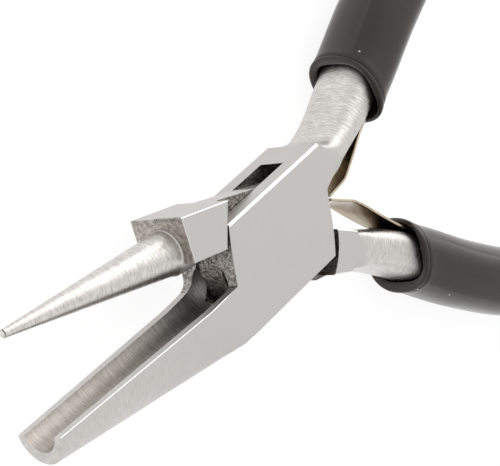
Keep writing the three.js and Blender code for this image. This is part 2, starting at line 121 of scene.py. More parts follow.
HANDLE_POINTS = [
    (-9.0, 5.5), (-14.8, 7.4), (-20.9, 10.3), (-26.4, 13.9), (-34, 19.2),
    (-45, 25.6), (-60, 31.4), (-75, 35.2), (-89, 37.3),
]
HANDLE_BEYOND = (-98, 38.3)  # where the line goes on inside the sleeve's round end
SHANK_REST = [(15, 3.0), (20, 2.8), (40, 2.75), (97, 2.3)]
SHANK_HALF_WIDTH = {
    -1: [(0, 2.7), (2.8, 2.6), (4.4, 2.2), (6, 2.1), (9, 2.35), *SHANK_REST],
    1: [(0, 2.3), (5, 2.42), (9, 2.75), *SHANK_REST],
}
SHANK_SHIFT = {
    -1: [(0, 0.2), (2.8, 0.03), (4.4, -0.42), (6, -0.57), (10, -0.42), (15, -0.05), (20, 0.25)],
    1: [(0, -0.2), (5, -0.22), (9, -0.1), (15, 0.0), (20, 0.25)],
}
SHANK_DEPTH = [(0, 4.5), (20, 4.5), (45, 4.1), (97, 3.1)]
SHANK_POWER = {
    -1: [(0, 12), (3, 8), (5.5, 3.2), (9, 2.5), (16, 2.3)],
    1: [(0, 12), (3.5, 9), (7, 4.2), (16, 3)],
}
SHANK_END = 60.0  # the steel goes on in the CAD; here it stops where the sleeve hides it
SHANK_BLEND = (3.85, 5.6)  # where the flats' finish gives way to the shank's, along the handle
SHANKS_BEHIND = -8  # where the grinding follows the handle and no longer the jaw
JAW_BLEND = {-1: (14, 34), 1: (15.02, 15.3)}  # where the flats' finish gives way to the jaw's
JAW_GROUND = {-1: 0.4, 1: 1.0}  # how much of the ground finish each jaw takes

LEAF_HALF_THICKNESS = 0.2
LEAF_TIP_GAP = 0.12
LEAF_LEAVES_SHANK = 14.2
LEAF_SEAT_GAP = 0.15
LEAF_SEAT_STATIONS = [16, 18, 20.5, 23, 26, 28.5, 31]
LEAF_MEETING = (-13.2, -0.7)
LEAF_BEND = {-1: (-14.9, -1.95), 1: (-16.2, 1.05)}
LEAF_SAG = {-1: 0.5, 1: 0.15}
LEAF_HALF_WIDTH = {
    -1: [(0, 1.5), (0.05, 2.2), (0.1, 2.8), (0.22, 2.9), (0.4, 2.2), (1, 2.1)],
    1: [(0, 1.5), (0.05, 2.2), (0.1, 2.8), (0.2, 3.0), (1, 2.9)],
}

GRIP_START = 15.7
GRIP_SLANT = 1.8
GRIP_TILT = 0.5
GRIP_LEAN_FADES = 12.0
GRIP_END = 92.5
GRIP_ROUND = 5.5
GRIP_GAP = 0.15  # 0.3 in the CAD's plain bore, but dipped vinyl hugs the steel
GRIP_HALF_WIDTH = [(15, 4.7), (30, 4.85), (60, 5.1), (92, 4.4)]
GRIP_HALF_DEPTH = [(15, 5.7), (60, 5.8), (92, 4.9)]
GRIP_SHIFT = -0.1
GRIP_POWER = 2.3
MOULD_LINE = {-1: (8, 0.16), 1: (64, -0.12)}  # point round the sleeve, height in mm
GRIP_INSIDE = 0.08  # keeps the fine skin inside the plainer CAD sleeve
BORE_END = 45  # 88 in the CAD; past it the fine sleeve is solid round the hidden shank
LIP_PROUD = 0.12  # 0.16 in the CAD
BORE_POWER = 3.0
LEAF_ROOM = [(0, 0.85), (17, 0.9), (21, 1.3), (31, 1.3), (36, 0.0)]

# ---------------------------------------------------------------- small mathematics


def along(table, where):
    """A value that runs smoothly, with no overshoot, through a table of (where, value)."""
    place = min(max(where, table[0][0]), table[-1][0])
    after = next(i for i in range(1, len(table)) if place <= table[i][0])
    (x0, y0), (x1, y1) = table[after - 1], table[after]
    run = x1 - x0
    t = (place - x0) / run
    s = 1 - t
    straight = y0 * s * s * (1 + 2 * t) + y1 * t * t * (1 + 2 * s)
    return straight + run * s * t * (s * slope_at(table, after - 1) - t * slope_at(table, after))


def slope_at(table, station):
    """Slope of a table at a station: the harmonic mean of the slopes on its two sides."""
    def secant(i):
        return (table[i + 1][1] - table[i][1]) / (table[i + 1][0] - table[i][0])

    before = secant(max(0, station - 1))
    after = secant(min(len(table) - 2, station))
    return 2 * before * after / (before + after) if before * after > 0 else 0.0


def super_point(angle, half_u, half_v, power):
    """One superellipse point: power 2 is an ellipse, a higher power is squarer."""
    c, s = math.cos(angle), math.sin(angle)
    u = math.copysign(abs(c) ** (2 / power), c) * half_u
    v = math.copysign(abs(s) ** (2 / power), s) * half_v
    return u, v


def arc(radius, start, end, steps):
    """Points of an arc about the pivot axis, from one angle to another in degrees."""
    angles = np.radians(np.linspace(start, end, steps + 1))
    return [(radius * math.cos(a), radius * math.sin(a)) for a in angles]


def quadratic(start, control, end, steps):
    """Points of a quadratic curve after its start."""
    points = []
    for i in range(1, steps + 1):
        t = i / steps
        weights = ((1 - t) ** 2, 2 * t * (1 - t), t * t)
        points.append(tuple(sum(w * p[k] for w, p in zip(weights, (start, control, end)))
                            for k in (0, 1)))
    return points


class Line:
    """A smooth curve through points in the mid plane, measured by its length."""

    SAMPLES = 60  # per span

    def __init__(self, points):
        points = [np.array(p, float) for p in points]
        ends = [2 * points[0] - points[1], *points, 2 * points[-1] - points[-2]]
        places = []
        for i in range(len(points) - 1):
            for k in range(self.SAMPLES):
                places.append(self.span(ends[i:i + 4], k / self.SAMPLES))
        places.append(points[-1])
        self.places = np.array(places)
        steps = np.linalg.norm(np.diff(self.places, axis=0), axis=1)
        self.lengths = np.concatenate([[0], np.cumsum(steps)])
        self.length = self.lengths[-1]

    @staticmethod
    def span(four, t):
        """Centripetal spline between the middle two of four points."""
        p0, p1, p2, p3 = four
        d0, d1, d2 = (math.sqrt(np.linalg.norm(b - a)) for a, b in ((p0, p1), (p1, p2), (p2, p3)))
        m1 = ((p1 - p0) / d0 - (p2 - p0) / (d0 + d1) + (p2 - p1) / d1) * d1
        m2 = ((p2 - p1) / d1 - (p3 - p1) / (d1 + d2) + (p3 - p2) / d2) * d1
        t2, t3 = t * t, t * t * t
        return ((2 * t3 - 3 * t2 + 1) * p1 + (t3 - 2 * t2 + t) * m1
                + (3 * t2 - 2 * t3) * p2 + (t3 - t2) * m2)

    def point(self, distance):
        return np.array([np.interp(distance, self.lengths, self.places[:, k]) for k in (0, 1)])

    def ahead(self, distance):
        step = 0.05
        low, high = max(0, distance - step), min(self.length, distance + step)
        run = self.point(high) - self.point(low)
        return run / np.linalg.norm(run)

    def distances_of(self, places):
        """Distance along the line of the point nearest to each place."""
        found = []
        for place in places:
            gaps = np.linalg.norm(self.places - place, axis=1)
            found.append(self.lengths[int(np.argmin(gaps))])
        return np.array(found)


def handle_line(side, beyond=False):
    """The bowed line of one handle. side is -1 for the box half and +1 for the tongue half."""
    points = HANDLE_POINTS + ([HANDLE_BEYOND] if beyond else [])
    return Line([(x, side * y) for x, y in points])


# ---------------------------------------------------------------- mesh making


def new_object(name, points, faces, slot, materials):
    """A mesh object from points in millimetres around the mid plane."""
    mesh = bpy.data.meshes.new(name)
    mesh.from_pydata([(x * MM, y * MM, (z + MID_PLANE) * MM) for x, y, z in points], [], faces)
    obj = bpy.data.objects.new(name, mesh)
    bpy.context.scene.collection.objects.link(obj)
    for material in materials:
        mesh.materials.append(material)
    mesh.polygons.foreach_set("material_index", [slot] * len(faces))
    face_outward(mesh)
    return obj


def face_outward(mesh):
    """Turns every face of a closed mesh outward."""
    work = bmesh.new()
    work.from_mesh(mesh)
    bmesh.ops.recalc_face_normals(work, faces=work.faces)
    work.to_mesh(mesh)
    work.free()


def loft(name, rings, slot, materials):
    """Joins rings of points into a closed skin, with one flat face at each end."""
    count = len(rings[0])
    points = [tuple(p) for ring in rings for p in ring]
    faces = [tuple(range(count))[::-1]]
    last = (len(rings) - 1) * count
    faces.append(tuple(range(last, last + count)))
    for r in range(len(rings) - 1):
        for i in range(count):
            j = (i + 1) % count
            a, b = r * count + i, r * count + j
            faces.append((a, b, b + count, a + count))
    return new_object(name, points, faces, slot, materials)


def plate(name, outline, low, high, slot, materials, chamfer=0.0):
    """A plate of the given outline between two heights, with an optional bright chamfer."""
    outline = [np.array(p, float) for p in outline]
    rings = [(outline, low), (outline, high)]
    if chamfer:
        inner = inset(outline, chamfer)
        rings = [(inner, low), (outline, low + chamfer), (outline, high - chamfer), (inner, high)]
    obj = loft(name, [[(x, y, z) for x, y in ring] for ring, z in rings], slot, materials)
    if chamfer:
        for face in obj.data.polygons:
            if 0.3 < abs(face.normal.z) < 0.9:
                face.material_index = EDGE
    return obj


def inset(outline, amount):
    """The outline moved inward by an amount, mitred at its corners."""
    area = sum(a[0] * b[1] - b[0] * a[1] for a, b in zip(outline, outline[1:] + outline[:1]))
    turn = 1 if area > 0 else -1
    moved = []
    for i, point in enumerate(outline):
        before = point - outline[i - 1]
        after = outline[(i + 1) % len(outline)] - point
        normals = [turn * np.array([-d[1], d[0]]) / np.linalg.norm(d) for d in (before, after)]
        middle = normals[0] + normals[1]
        moved.append(point + middle * amount * 2 / max(0.3, float(middle @ middle)))
    return moved


def cylinder(name, radius, low, high, slot, materials, steps=RING):
    ring = arc(radius, 0, 360, steps)[:-1]
    return plate(name, ring, low, high, slot, materials)


def lathe(name, profile, start, direction, slot, materials):
    """Turns a profile of (radius, distance) about an axis in the mid plane."""
    start = np.array([start[0], start[1], 0.0])
    axis = np.array([direction[0], direction[1], 0.0])
    axis /= np.linalg.norm(axis)
    across = np.array([-axis[1], axis[0], 0.0])
    rings = []
    for radius, distance in profile:
        middle = start + axis * distance
        ring = []
        for i in range(RING):
            angle = 2 * math.pi * i / RING
            ring.append(middle + radius * (across * math.cos(angle)
                                           + np.array([0, 0, math.sin(angle)])))
        rings.append(ring)
    return loft(name, rings, slot, materials)


def combine(base, other, operation):
    """Adds other to base, or cuts it away, and removes it."""
    modifier = base.modifiers.new(operation, "BOOLEAN")
    modifier.operation = operation
    modifier.solver = "MANIFOLD"
    modifier.material_mode = "INDEX"
    modifier.object = other
    graph = bpy.context.evaluated_depsgraph_get()
    mesh = bpy.data.meshes.new_from_object(base.evaluated_get(graph), depsgraph=graph)
    base.modifiers.clear()
    old = base.data
    base.data = mesh
    bpy.data.meshes.remove(old)
    bpy.data.objects.remove(other)
    return base


def join_up(base, *others):
    for other in others:
        combine(base, other, "UNION")
    return base


def cut(base, *others):
    for other in others:
        combine(base, other, "DIFFERENCE")
    return base


def finish_mesh(obj, sharp_degrees=32):
    """Smooth faces, with the edges left sharp where the surface really turns."""
    mesh = obj.data
    work = bmesh.new()
    work.from_mesh(mesh)
    bmesh.ops.remove_doubles(work, verts=work.verts, dist=0.004 * MM)
    bmesh.ops.dissolve_degenerate(work, dist=0.002 * MM, edges=work.edges)
    work.to_mesh(mesh)
    work.free()
    mesh.polygons.foreach_set("use_smooth", [True] * len(mesh.polygons))
    mesh.set_sharp_from_angle(angle=math.radians(sharp_degrees))
    weighted = obj.modifiers.new("even_shading", "WEIGHTED_NORMAL")
    weighted.keep_sharp = True
    weighted.weight = 80
    return obj


def points_of(mesh):
    """The mesh's points in millimetres around the mid plane."""
    flat = np.empty(len(mesh.vertices) * 3)
    mesh.vertices.foreach_get("co", flat)
    return flat.reshape(-1, 3) / MM + np.array([0, 0, HALF])


def write_values(obj, name, values):
    """Stores one number at each point of a mesh, for its material to read."""
    attribute = obj.data.attributes.new(name, "FLOAT", "POINT")
    attribute.data.foreach_set("value", np.array(values, np.float32))


def smooth_step(values, low, high):
    share = np.clip((np.asarray(values, float) - low) / (high - low), 0, 1)
    return share * share * (3 - 2 * share)


def write_finish(obj, side):
    """Stores the distance that the grinding lines go across (mm along the jaw, or back along the
    shank), and how far each point's finish has gone from the ground flats to the belt-ground
    round steel."""
    places = points_of(obj.data)
    back = handle_line(side).distances_of(places[:, :2])
    behind = places[:, 0] < SHANKS_BEHIND
    write_values(obj, "grain", np.where(behind, -back, places[:, 0]))
    jaw = JAW_GROUND[side] * smooth_step(places[:, 0], *JAW_BLEND[side])
    write_values(obj, "ground", np.where(behind, smooth_step(back, *SHANK_BLEND), jaw))


# ---------------------------------------------------------------- materials


class Nodes:
    """Short ways to add and join the nodes of one material."""

    def __init__(self, name):
        self.material = bpy.data.materials.new(name)
        self.material.use_nodes = True
        self.tree = self.material.node_tree
        self.tree.nodes.clear()
        self.shader = self.add("ShaderNodeBsdfPrincipled")
        out = self.add("ShaderNodeOutputMaterial")
        self.join(self.shader, "BSDF", out, "Surface")

    def add(self, kind, **settings):
        node = self.tree.nodes.new(kind)
        for key, value in settings.items():
            setattr(node, key, value)
        return node

    def join(self, source, output, target, socket):
        self.tree.links.new(source.outputs[output], target.inputs[socket])

    def number(self, operation, a, b):
        """A Math node of two inputs, each a number or a (node, output) pair."""
        node = self.add("ShaderNodeMath", operation=operation)
        for place, value in enumerate((a, b)):
            if isinstance(value, tuple):
                self.join(value[0], value[1], node, place)
            else:
                node.inputs[place].default_value = value
        return (node, "Value")

    def place(self):
        return (self.add("ShaderNodeTexCoord"), "Object")

    def stretch(self, vector, scale, rotation=(0, 0, 0)):
        node = self.add("ShaderNodeMapping")
        self.join(*vector, node, "Vector")
        node.inputs["Scale"].default_value = scale
        node.inputs["Rotation"].default_value = rotation
        return (node, "Vector")

    def noise(self, vector, scale, detail=3.0, roughness=0.6):
        node = self.add("ShaderNodeTexNoise")
        self.join(*vector, node, "Vector")
        node.inputs["Scale"].default_value = scale
        node.inputs["Detail"].default_value = detail
        node.inputs["Roughness"].default_value = roughness
        return (node, "Fac")

    def spread(self, value, low, high, to_low, to_high):
        node = self.add("ShaderNodeMapRange")
        self.join(*value, node, "Value")
        for socket, number in (("From Min", low), ("From Max", high),
                               ("To Min", to_low), ("To Max", to_high)):
            node.inputs[socket].default_value = number
        return (node, "Result")

    def mix(self, share, first, second):
        """Mixes two colours by a share."""
        node = self.add("ShaderNodeMix", data_type="RGBA")
        self.join(*share, node, 0)
        for place, colour in ((6, first), (7, second)):
            if len(colour) == 2:
                self.join(*colour, node, place)
            else:
                node.inputs[place].default_value = (*colour, 1)
        return (node, 2)

    def blend(self, share, first, second):
        """Mixes two numbers by a share."""
        node = self.add("ShaderNodeMix", data_type="FLOAT")
        self.join(*share, node, 0)
        self.join(*first, node, 2)
        self.join(*second, node, 3)
        return (node, 0)

    def bump(self, height, strength, distance, below=None):
        node = self.add("ShaderNodeBump")
        self.join(*height, node, "Height")
        node.inputs["Strength"].default_value = strength
        node.inputs["Distance"].default_value = distance
        if below:
            self.join(*below, node, "Normal")
        return (node, "Normal")

    def surface(self, **inputs):
        """Sets the shader's sockets, each to a number, a colour or a (node, output) pair."""
        for key, value in inputs.items():
            socket = key.replace("_", " ")
            if isinstance(value, tuple) and len(value) == 2:
                self.join(*value, self.shader, socket)
            else:
                colour = isinstance(value, tuple)
                self.shader.inputs[socket].default_value = (*value, 1) if colour else value
        return self.material

    def grain_lines(self, per_mm, per_metre_across):
        """A vector in which noise draws fine lines across the stored grain direction."""
        grain = self.add("ShaderNodeAttribute", attribute_name="grain")
        fine = self.number("MULTIPLY", (grain, "Fac"), per_mm)
        coarse = self.stretch(self.place(), (per_metre_across,) * 3)
        parts = self.add("ShaderNodeSeparateXYZ")
        self.join(*coarse, parts, "Vector")
        packed = self.add("ShaderNodeCombineXYZ")
        self.join(*fine, packed, "X")
        self.join(parts, "Y", packed, "Y")
        self.join(parts, "Z", packed, "Z")
        return (packed, "Vector")


def body_steel():
    """The two halves' steel: satin flats that turn, by the stored share, into belt-ground rounds
    with short fine lines across the piece."""
    n = Nodes("body_steel")
    share = (n.add("ShaderNodeAttribute", attribute_name="ground"), "Fac")
    lines = n.noise(n.grain_lines(10.0, 850), 1.0, detail=4.0, roughness=0.72)
    scratches = n.noise(n.stretch(n.place(), (900, 9000, 900), (0, 0, math.radians(18))), 1.0,
                        detail=4.0, roughness=0.7)
    clouds = n.noise(n.place(), 150, detail=3.0)
    flat = n.mix(n.spread(scratches, 0.3, 0.7, 0.0, 1.0), (0.53, 0.512, 0.492),
                 (0.562, 0.545, 0.525))
    ground = n.mix(n.spread(lines, 0.35, 0.65, 0.0, 1.0), (0.43, 0.408, 0.385),
                   (0.80, 0.775, 0.74))
    flat_rough = n.spread(clouds, 0.3, 0.7, 0.42, 0.5)
    ground_rough = n.spread(clouds, 0.3, 0.7, 0.24, 0.32)
    faint = n.bump(scratches, 0.12, 0.02 * MM)
    deep = n.bump(n.number("MULTIPLY", lines, share), 0.7, 0.04 * MM, faint)
    return n.surface(Base_Color=n.mix(share, flat, ground), Metallic=1.0,
                     Roughness=n.blend(share, flat_rough, ground_rough), Normal=deep)


def milled_steel():
    """Inside of the groove: fine marks of the form cutter, darker towards the joint, partly the
    steel's own tone and partly painted shade of the deep groove.
    """
    n = Nodes("milled_steel")
    lines = n.noise(n.grain_lines(9.0, 500), 1.0, detail=5.0, roughness=0.75)
    tone = n.spread(lines, 0.36, 0.64, 0.0, 1.0)
    along_jaw = n.add("ShaderNodeAttribute", attribute_name="grain")
    # partly painted shade: the groove's colour darkens towards the joint, where the groove is deep
    share = n.spread((along_jaw, "Fac"), 13.0, 40.0, 0.0, 1.0)
    light = n.mix(share, (0.30, 0.278, 0.262), (0.55, 0.508, 0.465))
    dark = n.mix(share, (0.13, 0.118, 0.108), (0.34, 0.31, 0.28))
    normal = n.bump(lines, 0.6, 0.04 * MM)
    return n.surface(Base_Color=n.mix(tone, dark, light), Metallic=1.0, Roughness=0.42,
                     Normal=normal)


def pitted_steel(name, dark, light):
    """Rough cut walls, pitted and oily: dark in the slot, lighter at the throat. Their dark tones
    are partly the steel's own and partly painted shade of the narrow slot and throat.
    """
    n = Nodes(name)
    pits = n.noise(n.place(), 2300, detail=4.0, roughness=0.75)
    marks = n.noise(n.stretch(n.place(), (300, 2400, 300)), 1.0, detail=3.0)
    tone = n.spread(pits, 0.40, 0.64, 0.0, 1.0)
    normal = n.bump(pits, 0.8, 0.08 * MM, n.bump(marks, 0.5, 0.08 * MM))
    return n.surface(Base_Color=n.mix(tone, dark, light), Metallic=1.0, Roughness=0.45,
                     Normal=normal)


def end_steel():
    """The block's end round the cone: rings left by the tool that turned the jaw, half cleaned."""
    n = Nodes("end_steel")
    centred = n.add("ShaderNodeMapping")
    n.join(*n.place(), centred, "Vector")
    centred.inputs["Location"].default_value = (0, -CONE_ROOT[1] * MM, HALF * MM)
    centred.inputs["Scale"].default_value = (0, 1, 1)
    radius = n.add("ShaderNodeVectorMath", operation="LENGTH")
    n.join(centred, "Vector", radius, 0)
    packed = n.add("ShaderNodeCombineXYZ")
    n.join(*n.number("MULTIPLY", (radius, "Value"), 5200), packed, "X")
    rings = n.noise((packed, "Vector"), 1.0, detail=3.0, roughness=0.7)
    pits = n.noise(n.place(), 1700, detail=4.0, roughness=0.75)
    rough = n.number("ADD", n.number("MULTIPLY", rings, 0.45), n.number("MULTIPLY", pits, 0.55))
    tone = n.spread(rough, 0.40, 0.60, 0.0, 1.0)
    return n.surface(Base_Color=n.mix(tone, (0.20, 0.17, 0.15), (0.62, 0.575, 0.535)), Metallic=1.0,
                     Roughness=0.40, Normal=n.bump(rough, 0.9, 0.10 * MM))


def edge_steel(name="edge_steel"):
    """Freshly ground chamfers, and the rivets: the brightest metal on the tool."""
    n = Nodes(name)
    lines = n.noise(n.stretch(n.place(), (2500, 2500, 2500)), 1.0, detail=3.0)
    rough = n.spread(lines, 0.3, 0.7, 0.22, 0.34)
    return n.surface(Base_Color=n.mix(lines, (0.80, 0.79, 0.77), (0.93, 0.92, 0.91)), Metallic=1.0,
                     Roughness=rough, Normal=n.bump(lines, 0.15, 0.02 * MM))


def spring_steel(name):
    """The strip's faces: smooth straw-brown steel that mirrors what lies beside it."""
    n = Nodes(name)
    lines = n.noise(n.stretch(n.place(), (300, 300, 7000)), 1.0, detail=4.0, roughness=0.7)
    heat = n.noise(n.place(), 170, detail=2.0)
    straw = n.mix(n.spread(lines, 0.3, 0.7, 0.0, 1.0), (0.34, 0.275, 0.19), (0.46, 0.385, 0.275))
    colour = n.mix(n.spread(heat, 0.45, 0.65, 0.0, 1.0), straw, (0.22, 0.155, 0.095))
    rough = n.spread(lines, 0.3, 0.7, 0.10, 0.17)
    return n.surface(Base_Color=colour, Metallic=1.0, Roughness=rough,
                     Normal=n.bump(lines, 0.12, 0.02 * MM))


def spring_edge(name):
    """The strip's sheared edges, polished to a pale straw."""
    n = Nodes(name)
    patches = n.noise(n.place(), 900, detail=3.0)
    rough = n.spread(patches, 0.3, 0.7, 0.22, 0.36)
    return n.surface(Base_Color=n.mix(patches, (0.38, 0.30, 0.205), (0.66, 0.575, 0.45)),
                     Metallic=1.0, Roughness=rough, Normal=n.bump(patches, 0.2, 0.02 * MM))


def vinyl(name):
    """Dipped vinyl: charcoal, glossy, very slightly uneven, with a few light dust specks."""
    n = Nodes(name)
    flow = n.noise(n.place(), 110, detail=2.0)
    orange_peel = n.noise(n.place(), 900, detail=2.0)
    cells = n.add("ShaderNodeTexVoronoi", feature="F1")
    n.join(*n.place(), cells, "Vector")
    cells.inputs["Scale"].default_value = 330
    dust = n.spread((cells, "Distance"), 0.02, 0.06, 1.0, 0.0)
    plain = n.mix(flow, (0.0165, 0.0118, 0.0088), (0.025, 0.018, 0.0138))
    rough = n.spread(flow, 0.3, 0.7, 0.16, 0.24)
    normal = n.bump(orange_peel, 0.06, 0.03 * MM, n.bump(flow, 0.3, 0.2 * MM))
    return n.surface(Base_Color=n.mix(dust, plain, (0.62, 0.61, 0.58)), Roughness=rough,
                     Specular_IOR_Level=0.42, Normal=normal)


STEEL, MILLED, SLOT, EDGE, END, THROAT = range(6)
STEELS = [
    body_steel(), milled_steel(),
    # partly painted shade: the slot steel's near-black stands in for some of the shade inside the
    # slot, on the tongue's flanks and at the shoulder
    pitted_steel("slot_steel", (0.06, 0.05, 0.045), (0.43, 0.392, 0.36)),
    edge_steel(), end_steel(),
    # partly painted shade: the throat steel is darker than the flats, standing in for some of the
    # shade in the throat
    pitted_steel("throat_steel", (0.14, 0.126, 0.115), (0.60, 0.562, 0.525)),
]

# ---------------------------------------------------------------- handles


def handle_ring(line, side, distance, section, slant=0.0, tilt=0.0):
    """Points round the handle line, for a section of (half_in, half_z, power, shift)."""
    half_in, half_z, power, shift = section
    middle, ahead = line.point(distance), line.ahead(distance)
    out = np.array([-ahead[1], ahead[0]]) * -side
    ring = []
    for i in range(RING):
        u, v = super_point(-side * 2 * math.pi * i / RING, half_in, half_z, power)
        lean = slant * u / half_in - tilt * v / half_z
        x, y = middle + out * (u + shift) + ahead * lean
        ring.append((x, y, v))
    return ring


def shank_section(side, distance):
    return (along(SHANK_HALF_WIDTH[side], distance), along(SHANK_DEPTH, distance),
            along(SHANK_POWER[side], distance), along(SHANK_SHIFT[side], distance))


def shank(side):
    """The handle's steel, without the CAD's rivet hole, which the sleeve hides."""
    line = handle_line(side)
    stations = np.concatenate([np.arange(0, 20, 0.6), np.arange(20, SHANK_END, 2.5)])
    rings = [handle_ring(line, side, d, shank_section(side, d)) for d in stations]
    return loft("shank", rings, STEEL, STEELS)


# ---------------------------------------------------------------- box half


def cheek_outline(corner_radius):
    corner = (9.85, 1.45)
    points = [(8.1, -5.8)]
    points += quadratic(points[-1], (9.25, -2.2), (corner[0] - 0.1, corner[1] - corner_radius), 12)
    points += quadratic(points[-1], corner,
                        (corner[0] + corner_radius, corner[1] + 0.17 * corner_radius), 6)
    points += [(12, 1.88), (10.6, 7.3), (9.85, 7.98), (-7.7, 5.15)]
    points += quadratic(points[-1], (-8.9, 2.4), (-9.45, -1.0), 10)
    points += [(-9.95, -3.1), (-12.0, -4.35), (-12.9, -5.8), (-12.3, -7.4), (-10.8, -8.95)]
    return points


def rim_height(x):
    """Y of the hollow jaw's flat rim, which slopes less past its turn."""
    start, slope = (RIM_START, RIM_SLOPES[0]) if x < RIM_TURN[0] else (RIM_TURN, RIM_SLOPES[1])
    return start[1] + (x - start[0]) * slope


def jaw_back():
    """The hollow jaw before its groove is cut: a flat rim over a half-round back."""
    rings = []
    for x in np.concatenate([np.arange(7, 20, 0.5), np.linspace(20, REACH, 30)]):
        taper = (JAW_TIP_HALF_WIDTH - HALF) * (x - JAW_TAPER_START) / (REACH - JAW_TAPER_START)
        half_width = min(HALF, HALF + taper)
        depth, power = along(JAW_DEPTH, x), along(JAW_POWER, x)
        rim = rim_height(x)
        ring = [(x, rim, half_width - RIM_CHAMFER)]
        for i in range(RING // 2 + 1):
            z, down = super_point(math.pi * i / (RING // 2), half_width, depth, power)
            ring.append((x, rim + max(RIM_CHAMFER, down), z))
        ring.append((x, rim, RIM_CHAMFER - half_width))
        rings.append(ring)
    jaw = loft("jaw", rings, STEEL, STEELS)
    for face in jaw.data.polygons:
        if face.normal.y < -0.5 and abs(face.normal.z) > 0.5:
            face.material_index = EDGE
    return jaw


def cutter_chatter(distance):
    """How far the form cutter's marks stand off the groove's true radius."""
    waves = ((2.3, 0.0, 0.5), (5.1, 1.3, 0.3), (9.7, 2.1, 0.2))
    return CHATTER * sum(size * math.sin(rate * distance + phase) for rate, phase, size in waves)


def groove_cutter():
    """The groove's round root and taper, which runs 2 mm past the jaw's tip."""
    root = np.array([GROOVE_ROOT_X, rim_height(GROOVE_ROOT_X) - GROOVE_ROOT_DROP])
    tip = np.array([REACH + 2, rim_height(REACH + 2) - GROOVE_TIP_DROP])
    length = float(np.linalg.norm(tip - root))
    profile = [(0.02, -GROOVE_ROOT_RADIUS)]
    for i in range(1, 16):
        angle = math.radians(90 * i / 16)
        profile.append((GROOVE_ROOT_RADIUS * math.sin(angle),
                        -GROOVE_ROOT_RADIUS * math.cos(angle)))
    for distance in np.arange(0, length, 0.22):
        share = distance / length
        radius = GROOVE_ROOT_RADIUS + (GROOVE_TIP_RADIUS - GROOVE_ROOT_RADIUS) * share
        profile.append((radius + cutter_chatter(distance), distance))
    return lathe("groove", profile, root, tip - root, MILLED, STEELS)


def slot_cutter():
    outline = [(6.35, -8.6), (6.35, -14), (-6.4, -14), *arc(SLOT_RADIUS, 232, 200, 16),
               (-16, -1.6), (-16, 12), (6.6, 12), *arc(SLOT_RADIUS, 49, 6, 20),
               (12.6, 0.6), (12.6, -8.6)]
    return plate("slot", outline, -SLOT_HALF, SLOT_HALF, SLOT, STEELS)


def edge_bevel(start, end, size, side):
    """A square bar along an edge between a side face and the edge's own face."""
    start, end = np.array(start), np.array(end)
    run = (end - start) / np.linalg.norm(end - start)
    across = np.array([-run[1], run[0]])
    rings = []
    for place in (start, end):
        corners = ((size, 0), (0, size), (-size, 0), (0, -size))
        rings.append([(*(place + across * u), side * HALF + v) for u, v in corners])
    return loft("bevel", rings, EDGE, STEELS)


def roughen_throat(cheek):
    """The cheeks' edges at the throat, above the groove, are left rough, in a darker steel that is
    partly painted shade of the throat.
    """
    for face in cheek.data.polygons:
        x, y = face.center.x / MM, face.center.y / MM
        if abs(face.normal.z) < 0.5 and x > 8 and y < 1.6:
            face.material_index = THROAT


def box_half():
    front = plate("box_half_fine", cheek_outline(0.25), 0, HALF, STEEL, STEELS)
    back = plate("cheek", cheek_outline(1.7), -HALF, 0, STEEL, STEELS)
    for cheek in (front, back):
        roughen_throat(cheek)
    body = join_up(front, back, jaw_back(), shank(-1))
    cut(body, groove_cutter(), slot_cutter())
    for side in (-1, 1):
        cut(body, edge_bevel((8.1, -5.8), (-10.8, -8.95), CHEEK_CHAMFER, side))
    cut(body, cylinder("hole", PIN_HOLE, -5, 5, SLOT, STEELS))
    finish_mesh(body)
    write_finish(body, -1)
    return body


# ---------------------------------------------------------------- tongue half


def tongue_outline():
    return [(12, -9.1), (12, -3.6), *arc(TONGUE_RADIUS, -20, 33, 20), (3.0, 5.5), (-2.3, 6.1),
            (-5.75, 7.6), (-9.5, 8.0), (-11, 3.2), *arc(TONGUE_RADIUS, 166, 221, 20),
            (-0.45, -7.15), (5.45, -8.2)]


def root_outline():
    inner = SHOULDER_RADIUS - 0.6
    return [*arc(inner, 163, 130, 8), (-10.0, 8.4), (-13.3, 5.2), (-13.1, 3.95), (-9.5, 2.2)]


def round_jaw():
    """The cone on its flange. Its end is flat with a dark chamfer, partly the steel's own tone and
    partly painted shade round the end; the CAD's is slightly domed.
    """
    start, end = np.array(CONE_ROOT), np.array(CONE_TIP)
    length = float(np.linalg.norm(end - start))
    fillet = CONE_FLANGE_RADIUS - CONE_BASE_RADIUS
    flange_at = 1.85
    profile = [(0.02, -1.2), (2.3, -1.2), (2.9, -0.6), (CONE_FLANGE_RADIUS, flange_at - fillet)]
    for i in range(1, 9):
        turn = math.radians(90 * i / 8)
        profile.append((CONE_FLANGE_RADIUS - fillet * math.sin(turn),
                        flange_at + 2 * fillet * (1 - math.cos(turn))))
    taper_start = flange_at + 2 * fillet
    for i in range(1, 61):
        share = i / 60
        radius = CONE_BASE_RADIUS + (CONE_TIP_RADIUS - CONE_BASE_RADIUS) * share
        profile.append((radius, taper_start + (length - 0.35 - taper_start) * share))
    profile.append((CONE_TIP_RADIUS - 0.03, length - 0.1))
    profile.append((CONE_TIP_RADIUS - 0.12, length))
    jaw = lathe("round_jaw", profile, start, end - start, STEEL, STEELS)
    for face in jaw.data.polygons:
        # partly painted shade: the end's chamfer takes the dark slot steel
        if 0.3 < face.normal.x < 0.9 and face.center.x / MM > REACH - 0.3:
            face.material_index = SLOT
    return jaw


def block():
    """The square head that the cone grows from, its end scored by the turning tool."""
    outline = [(6.95, -8.5), (14.85, -9.55), (15.0, -3.85), (9.5, -3.2)]
    body = plate("tongue_half_fine", outline, -HALF, HALF, STEEL, STEELS, chamfer=BLOCK_CHAMFER)
    for face in body.data.polygons:
        if face.normal.x > 0.9:
            face.material_index = END
    return cut(body, tooth_comb())


